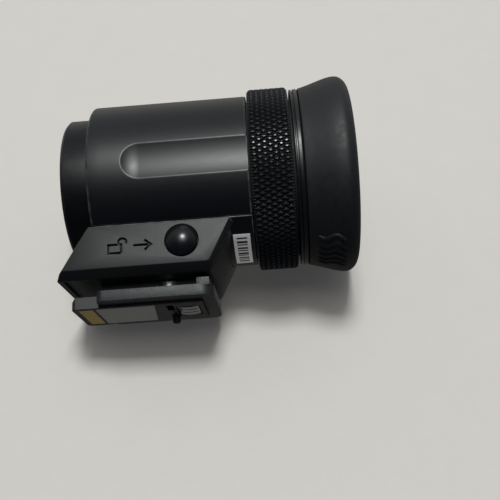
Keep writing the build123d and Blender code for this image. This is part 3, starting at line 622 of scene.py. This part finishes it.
def knurl():
    """Truncated diamond points between crossing grooves, cut off at the ring's chamfers."""
    bm = bmesh.new()
    middle = RING_LENGTH / 2
    half = (KNURL_COLUMNS + 1) // 2
    pitch = 2 * math.pi / KNURL_AROUND
    valleys = {}

    def point(x, angle, radius):
        return bm.verts.new((x, radius * math.cos(angle), radius * math.sin(angle)))

    def valley(column, step):
        key = (column, step % (2 * KNURL_AROUND))
        if key not in valleys:
            x = middle + column * KNURL_STEP_X
            valleys[key] = point(x, step * pitch / 2, RING_R - KNURL_DEPTH)
        return valleys[key]

    for column in range(-half, half + 1):
        for i in range(KNURL_AROUND):
            step = 2 * i + (column % 2)
            feet = [
                valley(column - 1, step),
                valley(column, step - 1),
                valley(column + 1, step),
                valley(column, step + 1),
            ]
            x = middle + column * KNURL_STEP_X
            angle = step * pitch / 2
            low, high = [], []
            for dx, da in ((-KNURL_STEP_X, 0), (0, -pitch / 2), (KNURL_STEP_X, 0), (0, pitch / 2)):
                out, radius = KNURL_SHOULDER, RING_R - KNURL_SHOULDER_DEPTH
                low.append(point(x + dx * out, angle + da * out, radius))
                out = KNURL_TOP
                high.append(point(x + dx * out, angle + da * out, RING_R))
            bm.faces.new(high)
            for k in range(4):
                j = (k + 1) % 4
                bm.faces.new((feet[k], feet[j], low[j], low[k]))
                bm.faces.new((low[k], low[j], high[j], high[k]))
    for x, side in ((KNURL_END, -1), (RING_LENGTH - KNURL_END, 1)):
        everything = bm.verts[:] + bm.edges[:] + bm.faces[:]
        bmesh.ops.bisect_plane(
            bm,
            geom=everything,
            dist=1e-6,
            plane_co=(x, 0, 0),
            plane_no=(side, 0, 0),
            clear_outer=True,
        )
    return bm


def close_knurl(bm):
    """Chamfered ends and a bore for the open knurled skin."""
    for x, side in ((KNURL_END, -1), (RING_LENGTH - KNURL_END, 1)):
        rim = [e for e in bm.edges if e.is_boundary and abs(e.verts[0].co.x - x) < 1e-4]
        rim = [e for e in rim if abs(e.verts[1].co.x - x) < 1e-4]
        steps = [(move, RING_R - drop) for move, drop in RING_CHAMFER] + [(0.0, TUBE_R + RING_BORE_GAP)]
        for move, radius in steps:
            made = bmesh.ops.extrude_edge_only(bm, edges=rim)["geom"]
            for v in [g for g in made if isinstance(g, bmesh.types.BMVert)]:
                here = math.hypot(v.co.y, v.co.z)
                v.co = (v.co.x + side * move, v.co.y * radius / here, v.co.z * radius / here)
            rim = [g for g in made if isinstance(g, bmesh.types.BMEdge)]
    return bm


def trim_ring():
    """A polished band behind a bead, with a groove between them."""
    bead_end = TRIM_X[0] + TRIM_BEAD
    band = bead_end + TRIM_GROOVE
    floor = TRIM_R - TRIM_GROOVE_DEPTH
    corners = [(TRIM_X[0], TUBE_R, 0), (TRIM_X[0], TRIM_R - 0.05, 0.16), (bead_end, TRIM_R - 0.05, 0.16)]
    corners += [(bead_end, floor, 0), (band, floor, 0), (band, TRIM_R, 0.1)]
    corners += [(TRIM_X[1], TRIM_R, 0.2), (TRIM_X[1], TUBE_R, 0)]
    return lathe(fillet_outline(corners))


ring = close_knurl(knurl())
piece("knurled_ring", ring, "dioptre_ring", ring_black, ["dioptre_ring"], 16)
piece("trim", trim_ring(), "barrel", trim_black, ["trim_ring"])


# ---- Eyecup ------------------------------------------------------------------------------------
def smooth_line(points, steps=8):
    """A Catmull-Rom line through points."""
    line = []
    ends = [points[0], *points, points[-1]]
    for a, b, c, d in zip(ends, ends[1:], ends[2:], ends[3:]):
        for k in range(steps):
            t = k / steps
            spot = []
            for i in (0, 1):
                bend = (2 * a[i] - 5 * b[i] + 4 * c[i] - d[i]) * t * t
                twist = (3 * b[i] - a[i] - 3 * c[i] + d[i]) * t**3
                spot.append(0.5 * (2 * b[i] + (c[i] - a[i]) * t + bend + twist))
            line.append(tuple(spot))
    return [*line, points[-1]]


CUP_SKIN = smooth_line(
    [(9.95, 17.1), (11.3, 17.45), (12.8, 17.92), (14.2, 18.36), (15.4, 18.66), (16.6, 18.8), (17.5, 18.6)]
    + [(18.3, 18.0), (18.75, 17.2), (18.85, 16.5), (18.6, 15.85), (18.1, 15.35)]
)


def skin_radius(x):
    """The cup's outer radius at x, ahead of its widest point."""
    for one, two in zip(CUP_SKIN, CUP_SKIN[1:]):
        if one[0] <= x <= two[0]:
            return one[1] + (two[1] - one[1]) * (x - one[0]) / (two[0] - one[0])
    return EYECUP_R


CUP_FRONT = [(9.62, 16.22), (9.62, 16.85), (9.7, 17.02)]
CUP_FUNNEL = [(16.6, 14.35), (15.3, 13.5), (14.7, 13.1), (14.5, 12.85), (14.3, 12.5), (13.9, 12.42)]
CUP_SEAT_X = 13.05
RIB_COUNT = 6
RIB_START_DEG = 240
RIB_PITCH_DEG = 5.2
RIB_WIDTH = 0.95
RIB_HEIGHT = 0.34
RIB_SINK = 0.02
RIB_POINTS = 13
RIB_START_X = 11.2
RIB_STEP_X = 0.42
RIB_WAVE_DEG = 1.9
RIB_WAVE_STEP = 0.62


def eyecup():
    """The rubber cup: its skin, the funnel to the eye and the seat on its mount."""
    seat = [(CUP_SEAT_X, CUP_FUNNEL[-1][1]), (CUP_SEAT_X, CUP_FRONT[0][1])]
    return lathe([*CUP_FRONT, *CUP_SKIN, *CUP_FUNNEL, *seat], 288)


def moulded_rib(path, width, height):
    """A low rounded rib on the cup's skin along (x, angle in degrees) points."""
    bm = bmesh.new()
    rows = []
    for i, (x, turn) in enumerate(path):
        after, before = path[min(i + 1, len(path) - 1)], path[max(i - 1, 0)]
        arc = math.radians(1) * EYECUP_R
        along = Vector((after[0] - before[0], (after[1] - before[1]) * arc)).normalized()
        fade = 1.0 if 0 < i < len(path) - 1 else 0.35
        row = []
        for k in range(7):
            across = (k / 6 - 0.5) * width * fade
            lift = height * math.cos((k / 6 - 0.5) * math.pi) - RIB_SINK
            px = x - along.y * across
            angle = math.radians(turn) + along.x * across / EYECUP_R
            r = skin_radius(px) + lift * fade
            row.append(bm.verts.new((px, r * math.cos(angle), r * math.sin(angle))))
        rows.append(row)
    for one, two in zip(rows, rows[1:]):
        for a, b, c, d in zip(one, one[1:], two[1:], two):
            bm.faces.new((a, b, c, d))
    return bm


def cup_ribs():
    """Plain moulded grip ribs on the underside of the cup."""
    ribs = []
    for i in range(RIB_COUNT):
        turn = RIB_START_DEG + i * RIB_PITCH_DEG
        path = []
        for k in range(RIB_POINTS):
            path.append((RIB_START_X + k * RIB_STEP_X, turn + RIB_WAVE_DEG * math.sin(k * RIB_WAVE_STEP)))
        ribs.append(moulded_rib(path, RIB_WIDTH, RIB_HEIGHT))
    return joined(*ribs)


piece("cup", eyecup(), "barrel", cup_rubber, ["eyecup"], 40)
piece("cup_grip_ribs", cup_ribs(), "barrel", cup_rubber, (), 60)


# ---- Base --------------------------------------------------------------------------------------
def slope_x(ends, z):
    """Where a slanted face of the base is at height z, from its (top, bottom) x."""
    return ends[0] + (ends[1] - ends[0]) * (SPLIT_Z - z) / (SPLIT_Z - BASE_BOTTOM_Z)


def rear_bulge(y):
    """How far the bowed rear face stands back at y from its middle."""
    lean = math.atan2(BASE_REAR[0] - BASE_REAR[1], SPLIT_Z - BASE_BOTTOM_Z)
    return (BASE_REAR_BULGE_R - math.sqrt(BASE_REAR_BULGE_R**2 - y**2)) / math.cos(lean)


CHEEK_STEPS = (
    (0.0, 1.56, 0.36),
    (0.03, 1.46, 0.26),
    (0.36, 1.14, 0.03),
    (0.42, 1.08, 0.0),
    (BASE_REAR_EDGE, BASE_EDGE - BASE_REAR_EDGE, 0.0),
    (1.42, 0.08, 0.0),
    (1.56, 0.0, 0.0),
)
LOFT_HALF_WIDTH = 9.6
LOFT_STEP = 1.2
REAR_ROUND = ((0.0, 0.5), (0.15, 0.12), (0.5, 0.0))


def base_blank():
    """The slanted block, lofted across its width so that its long edges are bevelled.

    A cheek step is how far in from the cheek it lies, how far the bottom is raised there and
    how far the ends are drawn in. REAR_ROUND is how far the rear face's lower edge is drawn in
    at each height over the bottom.
    """
    outer = BASE_HALF_WIDTH
    sides = [(-outer + into, low, ends) for into, low, ends in CHEEK_STEPS]
    sides += [(y, 0.0, 0.0) for y in spaced(-LOFT_HALF_WIDTH, LOFT_HALF_WIDTH, LOFT_STEP)]
    sides += [(outer - into, low, ends) for into, low, ends in reversed(CHEEK_STEPS)]
    bm = bmesh.new()
    loops = []
    for y, low, ends in sides:
        bottom, top = BASE_BOTTOM_Z + low, SPLIT_Z + 2.0
        rear = -rear_bulge(y) - max(0.0, BASE_REAR_EDGE - outer + abs(y)) - ends / 4
        corners = [(slope_x(BASE_FRONT, z) + ends, z) for z in (top, bottom)]
        for rise, back in REAR_ROUND:
            corners.append((slope_x(BASE_REAR, bottom + rise) + rear - back, bottom + rise))
        corners.append((slope_x(BASE_REAR, top) + rear, top))
        loops.append([bm.verts.new((x, y, z)) for x, z in corners])
    for one, two in zip(loops, loops[1:]):
        for i in range(len(one)):
            j = (i + 1) % len(one)
            bm.faces.new((one[i], one[j], two[j], two[i]))
    bm.faces.new(loops[0])
    bm.faces.new(loops[-1])
    bmesh.ops.recalc_face_normals(bm, faces=bm.faces)
    return bm


def stroke(points, width, low, high):
    """A thin line of that width through (x, z) points, as a slab across Y."""
    left, right = [], []
    for i, (a, b) in enumerate(points):
        here = Vector((a, b))
        before = here - Vector(points[max(i - 1, 0)])
        after = Vector(points[min(i + 1, len(points) - 1)]) - here
        along = (before.normalized() + after.normalized()).normalized()
        across = Vector((-along.y, along.x))
        square = abs(across.dot(Vector((-after.y, after.x)).normalized()))
        reach = width / 2 / (max(0.5, square) if square else 1.0)
        left.append(here + across * reach)
        right.append(here - across * reach)
    return slab([*left, *reversed(right)], low, high, "Y")


def padlock_icon():
    """An open padlock and an arrow towards the button, as cutters of the near cheek."""
    low, high = -BASE_HALF_WIDTH - 0.5, -BASE_HALF_WIDTH + ICON_DEPTH
    x, z, line, side = LOCK_ICON_X, ICON_Z, ICON_LINE, LOCK_ICON_HALF_WIDTH
    top, foot = z + LOCK_ICON_TOP, z - LOCK_ICON_FOOT
    frame_low = stroke([(x - side, top), (x - side, foot), (x + side, foot)], line, low, high)
    frame_high = stroke([(x + side, foot), (x + side, top), (x - side - line / 2, top)], line, low, high)
    turns = [math.pi * k / 14 for k in range(15)]
    middle, height = SHACKLE_CENTRE
    half, rise = SHACKLE_SIZE
    bow = [(x + middle + half * math.cos(t), z + height + rise * math.sin(t)) for t in turns]
    loose, held_x = SHACKLE_FEET
    shackle = stroke([(x + loose[0], z + loose[1]), *bow, (x + held_x, top)], line, low, high)
    tip, (length, spread) = ARROW_TIP_X, ARROW_HEAD
    shaft = stroke([(ARROW_X[0], z), (ARROW_X[1], z)], line, low, high)
    head = stroke([(tip - length, z + spread), (tip, z), (tip - length, z - spread)], line, low, high)
    return frame_low, frame_high, shackle, shaft, head


def base_housing():
    """The hollow block with its saddle for the barrel, its holes and the engraving."""
    inner = BASE_HALF_WIDTH - BASE_WALL
    saddle = slab(circle(BARREL_R + SADDLE_GAP, count=256), -45, 10, "X")
    rear = [(slope_x(BASE_REAR, z) - BASE_REAR_WALL, z) for z in (BASE_FLOOR_Z, -8)]
    hollow = slab([(-45, -8), (-45, BASE_FLOOR_Z), *rear], -inner, inner, "Y")
    button_hole = slab(circle(BUTTON_R + BUTTON_GAP, BUTTON), -14, -10, "Y")
    pins = slab(circle(HINGE_PIN_R, HINGE, 32), -HINGE_PIN_END, HINGE_PIN_END, "Y")
    lock_hole = block(LOCK_ROOM_X, LOCK_ROOM_Y, (-22, -18))
    pocket_y = (-POCKET_HALF_WIDTH, POCKET_HALF_WIDTH)
    pocket = block(POCKET_X, pocket_y, (BASE_BOTTOM_Z - 1, BASE_BOTTOM_Z + POCKET_DEPTH))
    cutters = [saddle, hollow, button_hole, pins, lock_hole, pocket]
    return cut(base_blank(), *cutters, *padlock_icon())


piece("slanted_base", base_housing(), "base", block_plastic, ["base_housing"], 24)


def button_dome():
    """Domed head with a small rim chamfer; it is turned about its own axis along Y."""
    face = -BASE_HALF_WIDTH
    radius = (BUTTON_R**2 + BUTTON_DOME**2) / (2 * BUTTON_DOME)
    centre = face - BUTTON_RIM - BUTTON_DOME + radius
    rows = [(AXIS_GAP, centre - radius)]
    for k in range(1, 15):
        r = (BUTTON_R - BUTTON_CHAMFER) * k / 14
        rows.append((r, centre - math.sqrt(radius**2 - r**2)))
    rows += [(BUTTON_R, face - 0.2), (BUTTON_R, face), (STEM_R, face), (STEM_R, STEM_END_Y)]
    bm = bmesh.new()
    rings = []
    for k in range(72):
        turn = 2 * math.pi * k / 72
        c, s = math.cos(turn), math.sin(turn)
        rings.append([bm.verts.new((BUTTON[0] + r * c, y, BUTTON[1] + r * s)) for r, y in rows])
    for k in range(72):
        one, two = rings[k], rings[(k + 1) % 72]
        for i in range(len(rows) - 1):
            bm.faces.new((one[i], one[i + 1], two[i + 1], two[i]))
    bm.faces.new([ring[0] for ring in rings])
    bm.faces.new([ring[-1] for ring in rings])
    return bm


dome = button_dome()
piece("release_button_dome", dome, "release_button", button_gloss, ["unlock_button"])


def coil_spring():
    """Compression spring between the release slide and the chassis post, along Y."""
    turns = COIL_LENGTH / COIL_PITCH
    steps = round(turns * 28)
    sides = [2 * math.pi * i / 10 for i in range(10)]
    bm = bmesh.new()
    rings = []
    for k in range(steps + 1):
        turn = 2 * math.pi * turns * k / steps
        along = COIL_START[1] + COIL_LENGTH * k / steps
        ring = []
        for side in sides:
            r = COIL_R + COIL_WIRE_R * math.cos(side)
            y = along + COIL_WIRE_R * math.sin(side)
            place = (COIL_START[0] + r * math.cos(turn), y, COIL_START[2] - r * math.sin(turn))
            ring.append(bm.verts.new(place))
        rings.append(ring)
    for one, two in zip(rings, rings[1:]):
        for i in range(len(sides)):
            j = (i + 1) % len(sides)
            bm.faces.new((one[i], one[j], two[j], two[i]))
    bm.faces.new(rings[0])
    bm.faces.new(rings[-1])
    return bm


coil = coil_spring()
return_spring = piece("return_spring", coil, "base", spring_wire, ["button_spring"], 60)
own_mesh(return_spring)


# ---- Shoe foot ---------------------------------------------------------------------------------
def shoe_foot():
    """Flange, neck and the two rear stops, with the contact block's channel cut through."""
    half = FLANGE_HALF_WIDTH
    front, rear = FLANGE_CORNERS
    corners = [(FLANGE_X[0], -half, front), (FLANGE_X[1], -half, rear)]
    corners += [(FLANGE_X[1], half, rear), (FLANGE_X[0], half, front)]
    foot = slab([(p[0], p[1]) for p in fillet_outline(corners, 8)], *FLANGE_Z, "Z", FLANGE_EDGE)
    root_z = FLANGE_Z[1] - 0.3
    neck = block(NECK_X, (-NECK_HALF_WIDTH, NECK_HALF_WIDTH), (root_z, BASE_BOTTOM_Z))
    inner, outer = NECK_HALF_WIDTH - 0.2, half - 0.02
    near = block(STOP_X, (-outer, -inner), (root_z, STOP_TOP_Z), STOP_EDGE)
    far = block(STOP_X, (inner, outer), (root_z, STOP_TOP_Z), STOP_EDGE)
    foot = fused(foot, neck, near, far)
    channel = block((-30, CHANNEL_END_X), (-NECK_HALF_WIDTH, NECK_HALF_WIDTH), (-25.5, CHANNEL_TOP_Z))
    lock_hole = slab(circle(LOCK_HOLE_R, LOCK, 40), -26, -20, "Z")
    return cut(foot, channel, lock_hole)


piece("foot", shoe_foot(), "base", foot_satin, ["shoe_foot"], 24)


# ---- Label -------------------------------------------------------------------------------------
LABEL_TURN_STEP = 0.03


def wrapped(x, y, radius, thick):
    """A thin sheet round the barrel's underside between two x and two y."""
    bm = bmesh.new()
    turns = spaced(-math.acos(y[0] / radius), -math.acos(y[1] / radius), LABEL_TURN_STEP)
    rows = []
    for turn in turns:
        row = []
        for px, r in ((x[0], radius), (x[0], radius + thick), (x[1], radius + thick), (x[1], radius)):
            row.append(bm.verts.new((px, r * math.cos(turn), r * math.sin(turn))))
        rows.append(row)
    for one, two in zip(rows, rows[1:]):
        for i in range(4):
            bm.faces.new((one[i], one[(i + 1) % 4], two[(i + 1) % 4], two[i]))
    bm.faces.new(rows[0])
    bm.faces.new(rows[-1])
    return bm


sheet = wrapped(LABEL_X, LABEL_Y, BARREL_R, LABEL_THICKNESS)
piece("label", sheet, "barrel", label_film, ["serial_label"])
bars = []
for i, width in enumerate(BAR_WIDTHS):
    start = BAR_START_Y + i * BAR_PITCH
    under = BARREL_R + LABEL_THICKNESS - INK_THICKNESS
    bars.append(wrapped(BAR_X, (start, start + width), under, 2 * INK_THICKNESS))
piece("label_bars", joined(*bars), "barrel", label_ink)


# ---- CAD nodes shown as they are ---------------------------------------------------------------
CARRIED = {
    barrel_paint: ["barrel_lower_cover"],
    dark_screw: ["cover_screws", "foot_screws", "hinge_pins", "lock_dowel"],
    inner_black: ["optics_chassis", "guide_tube", "eyecup_mount"]
    + ["lens_carrier", "lens_retainer", "release_slide"],
    sheet_steel: ["display_frame", "base_chassis", "friction_washers"],
    panel_glass: ["display_panel"],
    board_green: ["display_board", "base_board"],
    flex_amber: ["display_flex"],
    turned_brass: ["follower_pins"],
    lens_glass: ["eyepiece_lens", "field_lens"],
    plug_plastic: ["board_connector", "contact_block", "lock_pin"],
    bright_plate: ["ground_plate"],
    spring_wire: ["ground_spring", "rail_springs"],
    contact_gold: ["plug_contacts"],
}

for finish, nodes in CARRIED.items():
    for name in nodes:
        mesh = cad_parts[name].data
        mesh.materials.clear()
        mesh.materials.append(finish.material)


# ---- Table, light and camera -------------------------------------------------------------------
TABLE_HALF = 1.2
NEAR_PAPER = (0.656, 0.615, 0.582)
# Painted pool of light: away from the object the paper is painted towards this darker tone.
FALLOFF_PAPER_SHADE = (0.22, 0.215, 0.21)
FADE_FROM, FADE_TO = 0.085, 0.32
PAINTED_PAPER_GLOW = (1.0, 0.97, 0.92)


def table_top():
    """Pale paper with a painted pool of light: it is painted darker away from the object, and it glows
    faintly, painted light that lifts its shadows.
    """
    bm = bmesh.new()
    half = TABLE_HALF
    corners = [bm.verts.new((x * half, y * half, 0)) for x, y in ((-1, -1), (1, -1), (1, 1), (-1, 1))]
    bm.faces.new(corners)
    mesh = bpy.data.meshes.new("table_top")
    bm.to_mesh(mesh)
    bm.free()
    obj = bpy.data.objects.new("table_top", mesh)
    bpy.context.scene.collection.objects.link(obj)
    paper = Finish("paper", NEAR_PAPER, 0.75, spread=0.01)
    paper.grain(900, 0.00002)
    reach = paper.node("ShaderNodeVectorMath", operation="LENGTH")
    paper.link(paper.place, reach.inputs[0])
    far = paper.node("ShaderNodeMapRange", interpolation_type="SMOOTHERSTEP")
    far.inputs["From Min"].default_value = FADE_FROM
    far.inputs["From Max"].default_value = FADE_TO
    far.inputs["To Max"].default_value = 0.75
    paper.link(reach.outputs["Value"], far.inputs["Value"])
    fade = paper.node("ShaderNodeMix", data_type="RGBA")
    paper.link(far.outputs["Result"], fade.inputs["Factor"])
    paper.link(paper.base, fade.inputs["A"])
    fade.inputs["B"].default_value = (*FALLOFF_PAPER_SHADE, 1)
    paper.link(fade.outputs["Result"], paper.shader.inputs["Base Color"])
    # The paper glows faintly: painted light that lifts the shade of its shadows.
    paper.shader.inputs["Emission Color"].default_value = (*PAINTED_PAPER_GLOW, 1)
    paper.shader.inputs["Emission Strength"].default_value = 0.045
    mesh.materials.append(paper.material)
    obj.visible_glossy = False


AIM = (0, 0, 0.01)


def soft_light(name, place, size, power, color):
    """A square area lamp pointed at the object."""
    lamp = bpy.data.lights.new(name, "AREA")
    lamp.shape = "RECTANGLE"
    lamp.size = lamp.size_y = size
    lamp.energy = power
    lamp.color = color
    obj = bpy.data.objects.new(name, lamp)
    obj.location = place
    obj.rotation_euler = (Vector(AIM) - Vector(place)).to_track_quat("-Z", "Y").to_euler()
    bpy.context.scene.collection.objects.link(obj)


ROOM_FRONT = (0.016, 0.022, 0.034)
ROOM_BACK = (0.36, 0.37, 0.38)
TABLE_FRONT = (0.028, 0.032, 0.040)
TABLE_BACK = (0.50, 0.49, 0.46)
TABLE_BELOW = (0.12, 0.12, 0.115)


def studio():
    """A ceiling lamp in a room that is pale behind the object and dark towards the viewer.

    The table is left out of mirror reflections, so the world below the horizon stands for it:
    dim in front, pale behind and rather dark straight below.
    """
    world = bpy.data.worlds.new("studio")
    world.use_nodes = True
    tree = world.node_tree
    direction = tree.nodes.new("ShaderNodeTexCoord").outputs["Generated"]
    split = tree.nodes.new("ShaderNodeSeparateXYZ")
    tree.links.new(direction, split.inputs["Vector"])

    def blend(axis, start, stop, low, high):
        """Goes from low to high as the direction's part along axis goes from start to stop."""
        reach = tree.nodes.new("ShaderNodeMapRange")
        reach.inputs["From Min"].default_value = start
        reach.inputs["From Max"].default_value = stop
        tree.links.new(split.outputs[axis], reach.inputs["Value"])
        mix = tree.nodes.new("ShaderNodeMix")
        mix.data_type = "RGBA"
        tree.links.new(reach.outputs["Result"], mix.inputs["Factor"])
        for name, color in (("A", low), ("B", high)):
            if isinstance(color, tuple):
                mix.inputs[name].default_value = (*color, 1)
            else:
                tree.links.new(color, mix.inputs[name])
        return mix.outputs["Result"]

    room = blend("Y", -0.35, 0.55, ROOM_FRONT, ROOM_BACK)
    table = blend("Y", 0.15, 0.55, TABLE_FRONT, TABLE_BACK)
    table = blend("Z", -0.25, -1.0, table, TABLE_BELOW)
    tree.links.new(blend("Z", -0.02, 0.02, table, room), tree.nodes["Background"].inputs["Color"])
    bpy.context.scene.world = world
    soft_light("ceiling_lamp", (0.02, 0.180, 0.98), 0.22, 6.25, (0.955, 1.0, 0.982))
    soft_light("zenith_glow", (0.0, -0.03, 1.0), 0.42, 1.25, (1.0, 0.985, 0.94))


HEADING_DEG = -1.495
ELEVATION_DEG = 58.49
TILT_DEG = -1.365
CAMERA_SPOT = (0.0046, -0.0895, 0.1442)
SENSOR_WIDTH = 36
FOCAL_LENGTH = 57.6


def camera():
    """The main view, from above and in front."""
    data = bpy.data.cameras.new("camera")
    data.sensor_width = SENSOR_WIDTH
    data.lens = FOCAL_LENGTH
    data.clip_start, data.clip_end = 0.01, 10
    obj = bpy.data.objects.new("camera", data)
    turn = Matrix.Rotation(math.radians(HEADING_DEG), 4, "Z")
    turn = turn @ Matrix.Rotation(math.radians(90 - ELEVATION_DEG), 4, "X")
    turn = turn @ Matrix.Rotation(math.radians(TILT_DEG), 4, "Z")
    obj.matrix_world = Matrix.Translation(CAMERA_SPOT) @ turn
    bpy.context.scene.collection.objects.link(obj)
    bpy.context.scene.camera = obj


bpy.context.scene.view_settings.view_transform = "Standard"
table_top()
studio()
camera()
